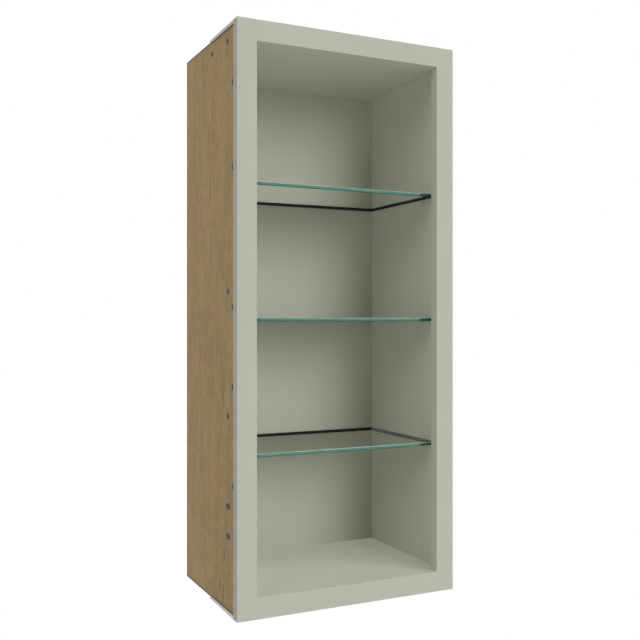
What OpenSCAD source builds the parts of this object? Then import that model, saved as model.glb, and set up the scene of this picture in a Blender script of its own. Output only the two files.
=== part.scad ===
/* [Cabinet] */
// Overall width, across the face frame
cab_w = 457.2; // [400:0.1:610]
// Overall height
cab_h = 1066.8; // [980:0.1:1220]
// Overall depth, from the face of the frame to the wall
cab_d = 304.8; // [270:0.1:400]

/* [Face frame] */
// Thickness of the stiles and rails
frame_t = 19.05; // [18:0.05:24]
// Width of each stile
stile_w = 38.1; // [36:0.1:60]
// Height of the top rail
top_rail_h = 38.1; // [36:0.1:80]
// Height of the bottom rail
bottom_rail_h = 38.1; // [36:0.1:80]
// Overhang of the frame beyond the outer face of each side panel
frame_overhang = 6.35; // [3:0.05:8]
// Depth of the groove in the back of each stile
stile_groove_d = 9.5; // [5:0.1:12]

/* [Frame dowels] */
// Diameter of a dowel
dowel_d = 8; // [6:0.1:9]
// Length of a dowel
dowel_l = 40; // [30:1:60]
// Distance between the two dowels of a joint
dowel_pitch = 19; // [14:0.5:22]
// Wood left between a dowel hole and the groove of the stile
dowel_web = 3; // [2:0.1:5]
// Room for glue at each end of a dowel
dowel_end_gap = 0.6; // [0.2:0.1:0.9]

/* [Case] */
// Thickness of the side panels
side_t = 12.7; // [12:0.05:16]
// Thickness of the top and bottom panels
deck_t = 19.05; // [16:0.05:22]
// Depth of the housings that the top and bottom panels sit in
housing_d = 6.35; // [4:0.05:8]
// Thickness of the back panel
back_t = 6.35; // [4:0.05:9]
// Depth of the grooves that hold the back panel
back_groove_d = 6.35; // [4:0.05:8]
// Thickness of the hanging rails
hang_rail_t = 12.7; // [10:0.05:19]
// Height of the hanging rails
hang_rail_h = 76.2; // [60:0.1:120]

/* [Glue blocks] */
// Length of a glue block
block_l = 60; // [40:1:80]
// Distance from the outer glue blocks to the side panels
block_margin = 40; // [5:1:50]
// Distance from a glue block to the end of the frame
block_setback = 1; // [0.5:0.1:3]

/* [Edge strips] */
// Thickness of the strips let into the ends of the side panels
strip_t = 1.6; // [1:0.1:3]
// Length of a strip, back from the frame
strip_l = 132; // [80:1:180]
// Loss of width of a strip from its front end to its back end
strip_taper = 1.8; // [0:0.1:3]

/* [Glass shelves] */
// Thickness of the glass
glass_t = 6.35; // [5:0.05:10]
// Distance from the middle of one shelf to the middle of the next
shelf_pitch = 247.65; // [180:0.05:255]
// Distance from the back of the frame to the front edge of a shelf
shelf_setback = 11.1; // [4:0.1:60]
// Gap between a shelf and each side panel, and the back panel
shelf_gap = 1; // [0.5:0.1:3]
// Radius of the corners of a shelf
glass_corner_r = 3; // [1:0.1:8]

/* [Shelf pins] */
// Diameter of the peg in the side panel
peg_d = 5; // [4:0.1:6.5]
// Length of the peg in the side panel
peg_l = 8; // [6:0.1:8.2]
// Diameter of the collar against the side panel
collar_d = 7.6; // [7:0.1:10]
// Thickness of the collar
collar_t = 1.2; // [0.8:0.1:2]
// Diameter of the nose that carries the shelf
nose_d = 7; // [6:0.1:7.6]
// Length of the nose
nose_l = 8; // [6:0.1:12]
// Height of the flat on the nose, above the axis of the pin
nose_flat = 1.5; // [1:0.1:2.5]
// Thickness of the cushion on the nose
cushion_t = 1; // [0.5:0.1:2]
// Width of the cushion
cushion_w = 4.8; // [3:0.1:5]
// Margin between the cushion and each end of the nose
cushion_margin = 0.5; // [0.2:0.1:1]
// Distance from the front or back edge of a shelf to its pins
pin_inset = 45; // [30:1:90]

/* [Plugs and screws] */
// Diameter of the plugs in the side panels
plug_d = 8.6; // [6:0.1:9.2]
// Length of a plug
plug_l = 3.8; // [2:0.1:4]
// Distance from the front of the frame to the first row of plugs
plug_row_1_y = 37; // [34:1:40]
// Distance from the front of the frame to the second row of plugs
plug_row_2_y = 61; // [57:1:80]
// Distance between the two plugs of a pair
plug_pair_pitch = 9.6; // [9.5:0.1:12]
// Heights of the first row of plugs, from the middle of the cabinet
plug_row_1_z = [428, 275, 23, -121, -301];
// Heights of the single plugs of the second row, from the middle of the cabinet
plug_row_2_z = [51, -177];
// Heights of the pairs of plugs of the second row, from the middle of the cabinet
plug_pair_z = [-341, -396];
// Diameter of the screw shanks
screw_d = 4.2; // [3:0.1:5]
// Diameter of the screw heads
screw_head_d = 8.6; // [6.5:0.1:10]
// Thickness of the screw heads
screw_head_t = 2; // [1.2:0.1:3]
// Length under the head of the screws through the side panels
deck_screw_l = 32; // [20:1:50]
// Height of those screws above the inner face of the top panel
deck_screw_rise = 12.7; // [7:0.1:13]
// Distances of those screws from the front of the frame
deck_screw_y = [64, 147];
// Length under the head of the screws into the hanging rails
rail_screw_l = 38; // [28:1:60]
// Distance from the outer of those screws to the side panels
rail_screw_margin = 60; // [30:1:90]

/* [Fits] */
// Clearance between a shelf and the cushions under it
rest_gap = 0.25; // [0.1:0.05:0.5]
// Radial clearance of dowels, pegs, plugs and screws in their holes
fit_gap = 0.05; // [0.02:0.01:0.1]

/* [Hidden] */
$fn = 48;
// Overrun of a cut beyond the face that it opens
cut = 1;

// Half widths, outwards from the middle
frame_x = cab_w / 2;
open_x = frame_x - stile_w;
side_x = frame_x - frame_overhang;
inner_x = side_x - side_t;
deck_x = inner_x + housing_d;
back_x = inner_x + back_groove_d;

// Depths, from the front to the wall
front_y = -cab_d / 2;
frame_back_y = front_y + frame_t;
wall_y = cab_d / 2;
rail_y = wall_y - hang_rail_t;
back_y = rail_y - back_t;

// Heights, from the bottom
floor_z = bottom_rail_h;
mid_z = cab_h / 2;
ceiling_z = cab_h - top_rail_h;
back_low_z = floor_z - back_groove_d;
back_high_z = ceiling_z + back_groove_d;

// Dowels of the face frame
dowel_in_stile = stile_w - frame_overhang - side_t - dowel_web;
dowel_in_rail = dowel_l - dowel_in_stile;
dowel_y = front_y + frame_t / 2;
rail_mid_z = [bottom_rail_h / 2, cab_h - top_rail_h / 2];

// Shelves and their pins
shelf_x = inner_x - shelf_gap;
shelf_front_y = frame_back_y + shelf_setback;
shelf_back_y = back_y - shelf_gap;
upper_shelf_z = mid_z + shelf_pitch;
middle_shelf_z = mid_z;
lower_shelf_z = mid_z - shelf_pitch;
shelf_z = [upper_shelf_z, middle_shelf_z, lower_shelf_z];
pin_drop = glass_t / 2 + rest_gap + cushion_t + nose_flat;
pin_y = [shelf_front_y + pin_inset, shelf_back_y - pin_inset];

// Screws
rail_screw_x = inner_x - rail_screw_margin;
rail_screw_y = (rail_y + wall_y) / 2;
deck_screw_z = ceiling_z + deck_screw_rise;

// Colours
sage = [0.71, 0.72, 0.66];
maple = [0.66, 0.55, 0.40];
bare_wood = [0.80, 0.70, 0.54];
dark = [0.16, 0.15, 0.14];
zinc = [0.72, 0.72, 0.70];
clear = [0.86, 0.90, 0.88];
glass = [0.45, 0.75, 0.68];

// A block between two corners
module block(low, high) {
    translate(low) cube(high - low);
}

// A rod along +X from the origin
module rod_x(d, l) {
    rotate([0, 90, 0]) cylinder(d = d, h = l);
}

// The children, and again on the other side of the middle
module both_sides() {
    children();
    mirror([1, 0, 0]) children();
}

// A screw that points down, with the face of its head at the origin
module screw(l, grow = 0) {
    translate([0, 0, -screw_head_t - l])
        cylinder(d = screw_d + 2 * grow, h = screw_head_t + l);
    translate([0, 0, -screw_head_t])
        cylinder(d = screw_head_d + 2 * grow, h = screw_head_t);
}

// The hole of such a screw, open above its head
module screw_hole(l) {
    screw(l, fit_gap);
    translate([0, 0, -screw_head_t])
        cylinder(d = screw_head_d + 2 * fit_gap, h = screw_head_t + cut);
}

// The children at the two dowels of the joint of a rail with the right stile
module at_dowels(z) {
    for (dz = [-dowel_pitch / 2, dowel_pitch / 2])
        translate([open_x, dowel_y, z + dz]) children();
}

// The holes of those dowels
module dowel_holes(z) {
    at_dowels(z) translate([-dowel_in_rail - dowel_end_gap, 0, 0])
        rod_x(dowel_d + 2 * fit_gap, dowel_l + 2 * dowel_end_gap);
}

// The right stile, grooved for the side panel
module stile() {
    color(sage) difference() {
        block([open_x, front_y, 0], [frame_x, frame_back_y, cab_h]);
        block([inner_x, frame_back_y - stile_groove_d, -cut],
              [side_x, frame_back_y + cut, cab_h + cut]);
        for (z = rail_mid_z) dowel_holes(z);
    }
}

module left_stile() {
    mirror([1, 0, 0]) stile();
}

module right_stile() {
    stile();
}

// A rail of the frame between two heights
module frame_rail(low_z, high_z) {
    color(sage) difference() {
        block([-open_x, front_y, low_z], [open_x, frame_back_y, high_z]);
        both_sides() dowel_holes((low_z + high_z) / 2);
    }
}

module top_rail() {
    frame_rail(ceiling_z, cab_h);
}

module bottom_rail() {
    frame_rail(0, floor_z);
}

module frame_dowels() {
    color(bare_wood) both_sides() for (z = rail_mid_z)
        at_dowels(z) translate([-dowel_in_rail, 0, 0]) rod_x(dowel_d, dowel_l);
}

// The children at each plug, on the outer face of the right side panel
module at_plugs() {
    for (z = plug_row_1_z)
        translate([side_x, front_y + plug_row_1_y, mid_z + z]) children();
    for (z = plug_row_2_z)
        translate([side_x, front_y + plug_row_2_y, mid_z + z]) children();
    for (z = plug_pair_z, dy = [-plug_pair_pitch / 2, plug_pair_pitch / 2])
        translate([side_x, front_y + plug_row_2_y + dy, mid_z + z]) children();
}

// The children at each screw through the right side panel, turned inwards
module at_deck_screws() {
    for (y = deck_screw_y)
        translate([side_x, front_y + y, deck_screw_z]) rotate([0, 90, 0]) children();
}

// The children at each pin of a shelf, on the inner face of the right side panel
module at_pins(z) {
    for (y = pin_y)
        translate([inner_x, y, z - pin_drop]) children();
}

// The right side panel, with its housings, groove, notches and holes
module side_panel() {
    color(maple) difference() {
        block([inner_x, frame_back_y - stile_groove_d, 0], [side_x, wall_y, cab_h]);
        for (z = [floor_z - deck_t, ceiling_z])
            block([inner_x - cut, frame_back_y, z], [deck_x, wall_y + cut, z + deck_t]);
        block([inner_x - cut, back_y, back_low_z], [back_x, rail_y, back_high_z]);
        for (z = [-cut, cab_h - strip_t])
            block([inner_x - cut, frame_back_y, z],
                  [side_x + cut, frame_back_y + strip_l, z + strip_t + cut]);
        for (z = shelf_z)
            at_pins(z) translate([-cut, 0, 0])
                rod_x(peg_d + 2 * fit_gap, cut + peg_l + fit_gap);
        at_plugs() translate([-plug_l, 0, 0]) rod_x(plug_d + 2 * fit_gap, plug_l + cut);
        at_deck_screws() screw_hole(deck_screw_l);
    }
}

module left_side_panel() {
    mirror([1, 0, 0]) side_panel();
}

module right_side_panel() {
    side_panel();
}

// The children at each screw into a hanging rail, for a panel that lies as deck() does
module at_rail_screws() {
    for (x = [-rail_screw_x, 0, rail_screw_x])
        translate([x, rail_screw_y, deck_t]) children();
}

// A top or bottom panel with its inner face down at the origin, grooved for the back
module deck() {
    difference() {
        block([-deck_x, frame_back_y, 0], [deck_x, wall_y, deck_t]);
        block([-deck_x - cut, back_y, -cut], [deck_x + cut, rail_y, back_groove_d]);
        at_rail_screws() screw_hole(rail_screw_l);
    }
}

// The hanging rail below such a panel
module hanging_rail() {
    color(bare_wood) difference() {
        block([-inner_x, rail_y, -hang_rail_h], [inner_x, wall_y, 0]);
        at_rail_screws() screw_hole(rail_screw_l);
    }
}

// Glue blocks between such a panel and a rail of the given height
module glue_blocks(rail_h) {
    leg = rail_h - deck_t - block_setback;
    outer_x = inner_x - block_margin - block_l / 2;
    color(bare_wood) for (x = [-outer_x, 0, outer_x])
        translate([x, frame_back_y, deck_t]) rotate([90, 0, 90])
            linear_extrude(block_l, center = true) polygon([[0, 0], [leg, 0], [0, leg]]);
}

// The children at the top of the case, with the inner face at the origin
module at_top() {
    translate([0, 0, ceiling_z]) children();
}

// The children at the bottom of the case, upside down
module at_bottom() {
    translate([0, 0, floor_z]) mirror([0, 0, 1]) children();
}

module top_panel() {
    color(sage) difference() {
        at_top() deck();
        both_sides() at_deck_screws() screw_hole(deck_screw_l);
    }
}

module bottom_panel() {
    color(sage) at_bottom() deck();
}

module back_panel() {
    color(sage) block([-back_x, back_y, back_low_z], [back_x, rail_y, back_high_z]);
}

module upper_hanging_rail() {
    at_top() hanging_rail();
}

module lower_hanging_rail() {
    at_bottom() hanging_rail();
}

module upper_glue_blocks() {
    at_top() glue_blocks(top_rail_h);
}

module lower_glue_blocks() {
    at_bottom() glue_blocks(bottom_rail_h);
}

// A painted strip on the end of each side panel, out to the edge of the frame
module edge_strips() {
    tail_x = frame_x - strip_taper;
    color(sage) both_sides() translate([0, frame_back_y, 0])
        linear_extrude(strip_t)
            polygon([[inner_x, 0], [frame_x, 0], [tail_x, strip_l], [inner_x, strip_l]]);
}

module upper_edge_strips() {
    translate([0, 0, cab_h - strip_t]) edge_strips();
}

module lower_edge_strips() {
    edge_strips();
}

module right_deck_screws() {
    color(dark) at_deck_screws() screw(deck_screw_l);
}

module left_deck_screws() {
    mirror([1, 0, 0]) right_deck_screws();
}

module right_side_plugs() {
    color(dark) at_plugs() translate([-plug_l, 0, 0]) rod_x(plug_d, plug_l);
}

module left_side_plugs() {
    mirror([1, 0, 0]) right_side_plugs();
}

module upper_rail_screws() {
    color(zinc) at_top() at_rail_screws() screw(rail_screw_l);
}

module lower_rail_screws() {
    color(zinc) at_bottom() at_rail_screws() screw(rail_screw_l);
}

// A pin in the left side panel: its peg, and a collar and nose with a flat for the shelf
module shelf_pin() {
    translate([-peg_l, 0, 0]) rod_x(peg_d, peg_l);
    difference() {
        union() {
            rod_x(collar_d, collar_t);
            rod_x(nose_d, collar_t + nose_l);
        }
        block([-cut, -collar_d, nose_flat], [collar_t + nose_l + cut, collar_d, collar_d]);
    }
}

// The cushion on the flat of a pin
module cushion() {
    block([collar_t + cushion_margin, -cushion_w / 2, nose_flat],
          [collar_t + nose_l - cushion_margin, cushion_w / 2, nose_flat + cushion_t]);
}

module shelf_pins(z) {
    color(clear) both_sides() at_pins(z) mirror([1, 0, 0]) shelf_pin();
}

module shelf_cushions(z) {
    color(clear) both_sides() at_pins(z) mirror([1, 0, 0]) cushion();
}

module upper_shelf_pins() {
    shelf_pins(upper_shelf_z);
}

module middle_shelf_pins() {
    shelf_pins(middle_shelf_z);
}

module lower_shelf_pins() {
    shelf_pins(lower_shelf_z);
}

module upper_shelf_cushions() {
    shelf_cushions(upper_shelf_z);
}

module middle_shelf_cushions() {
    shelf_cushions(middle_shelf_z);
}

module lower_shelf_cushions() {
    shelf_cushions(lower_shelf_z);
}

// A glass shelf with rounded corners, at the height of its middle
module glass_shelf(z) {
    r = glass_corner_r;
    low = [-shelf_x, shelf_front_y, z - glass_t / 2];
    high = [shelf_x, shelf_back_y, z + glass_t / 2];
    color(glass) {
        block(low + [r, 0, 0], high - [r, 0, 0]);
        block(low + [0, r, 0], high - [0, r, 0]);
        for (x = [low[0] + r, high[0] - r], y = [low[1] + r, high[1] - r])
            translate([x, y, low[2]]) cylinder(r = r, h = glass_t);
    }
}

module upper_glass_shelf() {
    glass_shelf(upper_shelf_z);
}

module middle_glass_shelf() {
    glass_shelf(middle_shelf_z);
}

module lower_glass_shelf() {
    glass_shelf(lower_shelf_z);
}

left_stile();
right_stile();
top_rail();
bottom_rail();
frame_dowels();
left_side_panel();
right_side_panel();
top_panel();
bottom_panel();
back_panel();
upper_hanging_rail();
lower_hanging_rail();
upper_glue_blocks();
lower_glue_blocks();
upper_edge_strips();
lower_edge_strips();
left_deck_screws();
right_deck_screws();
left_side_plugs();
right_side_plugs();
upper_rail_screws();
lower_rail_screws();
upper_shelf_pins();
middle_shelf_pins();
lower_shelf_pins();
upper_shelf_cushions();
middle_shelf_cushions();
lower_shelf_cushions();
upper_glass_shelf();
middle_glass_shelf();
lower_glass_shelf();
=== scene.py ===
"""Open wall cabinet with a painted face frame, wood-grained sides and glass shelves.

The packed model is the fixed frame. Each operator models and finishes one group of its pieces,
and the last one sets the stage.
"""
import contextlib
import math

import bmesh
import bpy
from bpy.props import FloatProperty, FloatVectorProperty, PointerProperty
from mathutils import Matrix, Vector


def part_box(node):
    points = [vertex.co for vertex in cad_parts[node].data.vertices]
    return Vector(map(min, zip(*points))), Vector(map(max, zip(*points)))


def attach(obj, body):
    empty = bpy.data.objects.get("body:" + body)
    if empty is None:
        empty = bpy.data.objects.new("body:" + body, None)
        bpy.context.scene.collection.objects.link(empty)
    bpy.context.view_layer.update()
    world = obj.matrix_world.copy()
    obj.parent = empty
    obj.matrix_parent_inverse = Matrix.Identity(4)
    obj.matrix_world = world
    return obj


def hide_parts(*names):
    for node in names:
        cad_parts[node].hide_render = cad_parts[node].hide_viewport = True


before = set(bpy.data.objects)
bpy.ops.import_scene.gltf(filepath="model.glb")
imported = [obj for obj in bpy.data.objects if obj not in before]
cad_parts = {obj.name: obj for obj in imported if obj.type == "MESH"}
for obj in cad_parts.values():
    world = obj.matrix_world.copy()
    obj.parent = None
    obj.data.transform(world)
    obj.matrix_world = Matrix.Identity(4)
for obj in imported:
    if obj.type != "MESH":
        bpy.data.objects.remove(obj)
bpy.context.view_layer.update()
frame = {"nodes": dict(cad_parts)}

bl_info = {
    "name": "Wall cabinet",
    "version": (1, 0, 0),
    "blender": (4, 5, 0),
    "location": "3D View > Sidebar > Cabinet",
    "description": "Models and finishes an open wall cabinet with glass shelves",
    "category": "Object",
}

MM = 0.001
ROOT = "cabinet"
SHELVES = ("upper", "middle", "lower")

# Planes of the cabinet, from the packed pieces, in metres
FRAME_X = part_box("right_stile")[1].x
OPEN_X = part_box("right_stile")[0].x
SIDE_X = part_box("right_side_panel")[1].x
INNER_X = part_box("right_side_panel")[0].x
DECK_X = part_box("top_panel")[1].x
FRONT_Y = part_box("right_stile")[0].y
FRAME_BACK_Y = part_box("right_stile")[1].y
GROOVE_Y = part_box("right_side_panel")[0].y
BACK_Y, RAIL_Y = (corner.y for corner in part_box("back_panel"))
WALL_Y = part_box("right_side_panel")[1].y
TOP_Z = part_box("right_stile")[1].z
FLOOR_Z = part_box("bottom_rail")[1].z
CEILING_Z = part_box("top_rail")[0].z
MID_Z = TOP_Z / 2
BACK_LOW_Z, BACK_HIGH_Z = (corner.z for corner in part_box("back_panel"))
DECK_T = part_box("top_panel")[1].z - CEILING_Z
STRIP_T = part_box("lower_edge_strips")[1].z
STRIP_BACK_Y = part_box("lower_edge_strips")[1].y

# Fasteners, as in the solids, and marks in the veneer, in metres
DOWEL_R, DOWEL_PITCH, DOWEL_IN_RAIL, DOWEL_L = 4.05 * MM, 19 * MM, 24.65 * MM, 41.2 * MM
PLUG_R, PLUG_L = 4.3 * MM, 3.8 * MM
# Back from the front and up from the middle, in millimetres
PLUGS = [(37, z) for z in (428, 275, 23, -121, -301)]
PLUGS += [(61, 51), (61, -177)]
PLUGS += [(61 + dy, z) for z in (-341, -396) for dy in (-4.8, 4.8)]
SHANK_R, HEAD_R, HEAD_T = 2.1 * MM, 4.3 * MM, 2 * MM
DECK_SCREW_L, DECK_SCREW_RISE, DECK_SCREW_Y = 32 * MM, 12.7 * MM, (64 * MM, 147 * MM)
RAIL_SCREW_L, RAIL_SCREW_X = 38 * MM, 149.55 * MM
PEG_R, PEG_L = 2.5 * MM, 8 * MM
COLLAR_R, COLLAR_T = 3.8 * MM, 1.2 * MM
NOSE_R, NOSE_L, NOSE_FLAT = 3.5 * MM, 8 * MM, 1.5 * MM
CUSHION_T, CUSHION_W, CUSHION_MARGIN = 1 * MM, 4.8 * MM, 0.5 * MM
PIN_INSET, REST_GAP = 45 * MM, 0.25 * MM
GLASS_CORNER_R = 3 * MM
STAIN_R = PLUG_R + 2.6 * MM
VENEER_STREAKS = [
    ((-70 * MM, 99.5 * MM), (5.2 * MM, 17 * MM)),
    ((-47 * MM, 39 * MM), (4.8 * MM, 13.5 * MM)),
    ((-66.3 * MM, 25.5 * MM), (4.4 * MM, 24 * MM)),
    ((9 * MM, 27 * MM), (4 * MM, 4.5 * MM)),
]
# Room round a fastener, reach of a cutter past a face, and depth of paint and veneer
FIT, OVER = 0.05 * MM, 5 * MM
PAINT_T, VENEER_T = 0.3 * MM, 0.45 * MM


def plug_places():
    """Y and Z of the plugs in a side panel."""
    return [(FRONT_Y + y * MM, MID_Z + z * MM) for y, z in PLUGS]


def pin_places(shelves=SHELVES):
    """Y and Z of the shelf pins in a side panel."""
    places = []
    for shelf in shelves:
        low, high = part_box(shelf + "_glass_shelf")
        z = low.z - REST_GAP - CUSHION_T - NOSE_FLAT
        places += [(low.y + PIN_INSET, z), (high.y - PIN_INSET, z)]
    return places


def rail_screw_places():
    """X and Y of the screws into a hanging rail."""
    return [(x, (RAIL_Y + WALL_Y) / 2) for x in (-RAIL_SCREW_X, 0, RAIL_SCREW_X)]


# Modelling


def pick(*objects):
    """Selects these objects alone, with the first of them active."""
    bpy.ops.object.select_all(action="DESELECT")
    for o in objects:
        o.select_set(True)
    bpy.context.view_layer.objects.active = objects[0]


def set_in_place(o):
    """Moves an object's place, turn and size into its mesh."""
    pick(o)
    bpy.ops.object.transform_apply(location=True, rotation=True, scale=True)
    return o


def block(name, low, high):
    """A block between two corners."""
    low, high = Vector(low), Vector(high)
    bpy.ops.object.select_all(action="DESELECT")
    bpy.ops.mesh.primitive_cube_add(size=1, location=(low + high) / 2)
    o = bpy.context.object
    o.name = name
    o.scale = high - low
    return set_in_place(o)


def rod(name, start, end, radius, sides=48):
    """A rod between two points."""
    start, end = Vector(start), Vector(end)
    turn = (end - start).to_track_quat("Z", "Y").to_euler()
    bpy.ops.object.select_all(action="DESELECT")
    bpy.ops.mesh.primitive_cylinder_add(
        vertices=sides, radius=radius, depth=(end - start).length,
        location=(start + end) / 2, rotation=turn,
    )
    o = bpy.context.object
    o.name = name
    return set_in_place(o)


@contextlib.contextmanager
def editing(o):
    """Edit mode on one object."""
    pick(o)
    bpy.ops.object.mode_set(mode="EDIT")
    yield
    bpy.ops.object.mode_set(mode="OBJECT")


def choose(o, kind, test):
    """Selects the faces, edges or vertices that pass a test, in edit mode."""
    bpy.ops.mesh.select_mode(type=kind)
    bpy.ops.mesh.select_all(action="DESELECT")
    mesh = bmesh.from_edit_mesh(o.data)
    parts = {"FACE": mesh.faces, "EDGE": mesh.edges, "VERT": mesh.verts}[kind]
    for part in parts:
        if test(part):
            part.select_set(True)
    bmesh.update_edit_mesh(o.data)


def is_sharp(edge):
    """Whether an edge is the meeting of two faces at an outward angle."""
    return len(edge.link_faces) == 2 and edge.is_convex and edge.calc_face_angle() > 0.5


def near(a, b):
    """Whether two lengths are the same to a hundredth of a millimetre."""
    return abs(a - b) < 0.01 * MM


def on_plane(edge, axis, value):
    """Whether both ends of an edge lie on a plane square to an axis."""
    return all(near(v.co[axis], value) for v in edge.verts)


def along(edge, axis):
    """Whether an edge runs along an axis."""
    run = edge.verts[1].co - edge.verts[0].co
    return abs(run[axis]) > 0.999 * run.length


def ease(o, width, test=lambda edge: True, segments=2):
    """Rounds over the sharp edges that pass a test."""
    with editing(o):
        choose(o, "EDGE", lambda edge: is_sharp(edge) and test(edge))
        bpy.ops.mesh.bevel(offset=width, segments=segments, affect="EDGES", profile=0.5)


def cut(o, *cutters):
    """Cuts other objects out of a piece, and deletes them."""
    for cutter in cutters:
        change = o.modifiers.new("cut", "BOOLEAN")
        change.operation, change.solver, change.object = "DIFFERENCE", "EXACT", cutter
        pick(o)
        bpy.ops.object.modifier_apply(modifier=change.name)
        bpy.data.objects.remove(cutter)


def keep_side(o, point, normal):
    """Cuts a piece along a plane, closes it and keeps what lies ahead of the normal."""
    with editing(o):
        bpy.ops.mesh.select_all(action="SELECT")
        bpy.ops.mesh.bisect(
            plane_co=point, plane_no=normal, use_fill=True, clear_inner=True,
        )


def copied(o, name, place=Matrix.Identity(4)):
    """A copy of a piece with its own mesh, put in another place."""
    pick(o)
    bpy.ops.object.duplicate()
    new = bpy.context.object
    new.name = name
    new.matrix_world = place @ new.matrix_world
    set_in_place(new)
    if place.determinant() < 0:
        with editing(new):
            bpy.ops.mesh.select_all(action="SELECT")
            bpy.ops.mesh.normals_make_consistent(inside=False)
    return new


def mirrored(o, name):
    """A copy of a piece on the other side of the cabinet."""
    return copied(o, name, Matrix.Scale(-1, 4, (1, 0, 0)))


def upended(o, name):
    """A copy of a piece at the other end of the cabinet, turned over by a mirror."""
    place = Matrix.Translation((0, 0, TOP_Z)) @ Matrix.Scale(-1, 4, (0, 0, 1))
    return copied(o, name, place)


def joined(name, *parts):
    """Several parts as one piece."""
    pick(*parts)
    bpy.ops.object.join()
    o = bpy.context.object
    o.name = o.data.name = name
    return o


def make_screw(shank):
    """A flat-headed screw with a cross recess, pointing down from the origin."""
    screw = rod("screw", (0, 0, -HEAD_T), (0, 0, 0), HEAD_R)
    point = 5 * MM
    with editing(screw):
        choose(screw, "FACE", lambda face: face.normal.z < -0.9)
        bpy.ops.mesh.inset(thickness=HEAD_R - SHANK_R)
        move = {"value": (0, 0, point - shank)}
        bpy.ops.mesh.extrude_region_move(TRANSFORM_OT_translate=move)
        move = {"value": (0, 0, -point)}
        bpy.ops.mesh.extrude_region_move(TRANSFORM_OT_translate=move)
        tip = (0, 0, -HEAD_T - shank)
        bpy.ops.transform.resize(value=(0.12, 0.12, 1), center_override=tip)
    ease(screw, 0.3 * MM, lambda edge: on_plane(edge, 2, 0))
    arm, wide, deep = 2.3 * MM, 0.55 * MM, 1.3 * MM
    cut(screw, block("slot", (-arm, -wide, -deep), (arm, wide, MM)))
    cut(screw, block("slot", (-wide, -arm, -deep), (wide, arm, MM)))
    return screw


def finish_piece(o, body, node, slot, *materials):
    """Smooths a piece by angle, gives it its materials, puts it on its body and hides the CAD
    node it stands for.
    """
    pick(o)
    bpy.ops.object.shade_smooth_by_angle(angle=math.radians(35))
    change = o.modifiers.new("flats", "WEIGHTED_NORMAL")
    change.keep_sharp = True
    bpy.ops.object.modifier_apply(modifier=change.name)
    o.data.materials.clear()
    for material in materials:
        o.data.materials.append(material)
    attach(o, body)
    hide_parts(node)
    return o


def give(o, index, test):
    """Gives one of a piece's materials to the faces that pass a test."""
    o.active_material_index = index
    with editing(o):
        choose(o, "FACE", test)
        bpy.ops.object.material_slot_assign()


# Finishes


class Shade:
    """A socket of a finish. Arithmetic on it adds Math nodes."""

    def __init__(self, finish, socket):
        self.finish, self.socket = finish, socket

    def maths(self, operation, *values):
        sockets = dict(enumerate(values))
        return self.finish.add("ShaderNodeMath", {"operation": operation}, sockets)

    def __add__(self, other):
        return self.maths("ADD", self, other)

    def __sub__(self, other):
        return self.maths("SUBTRACT", self, other)

    def __rsub__(self, other):
        return self.maths("SUBTRACT", other, self)

    def __mul__(self, other):
        return self.maths("MULTIPLY", self, other)

    def __truediv__(self, other):
        return self.maths("DIVIDE", self, other)

    def __rtruediv__(self, other):
        return self.maths("DIVIDE", other, self)

    def __gt__(self, other):
        return self.maths("GREATER_THAN", self, other)

    def __lt__(self, other):
        return self.maths("LESS_THAN", self, other)

    def __abs__(self):
        return self.maths("ABSOLUTE", self)

    __radd__, __rmul__ = __add__, __mul__

    def least(self, other):
        return self.maths("MINIMUM", self, other)

    def most(self, other):
        return self.maths("MAXIMUM", self, other)

    def sine(self):
        return self.maths("SINE", self)

    def turned(self, length):
        """A zigzag from 0 to a length and back."""
        return self.maths("PINGPONG", self, length)

    def ramp(self, low, high, from_value=0.0, to_value=1.0):
        """This value from low to high, as a smooth step between two values."""
        sockets = {0: self, 1: low, 2: high, 3: from_value, 4: to_value}
        kind = {"interpolation_type": "SMOOTHSTEP"}
        return self.finish.add("ShaderNodeMapRange", kind, sockets)


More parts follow.
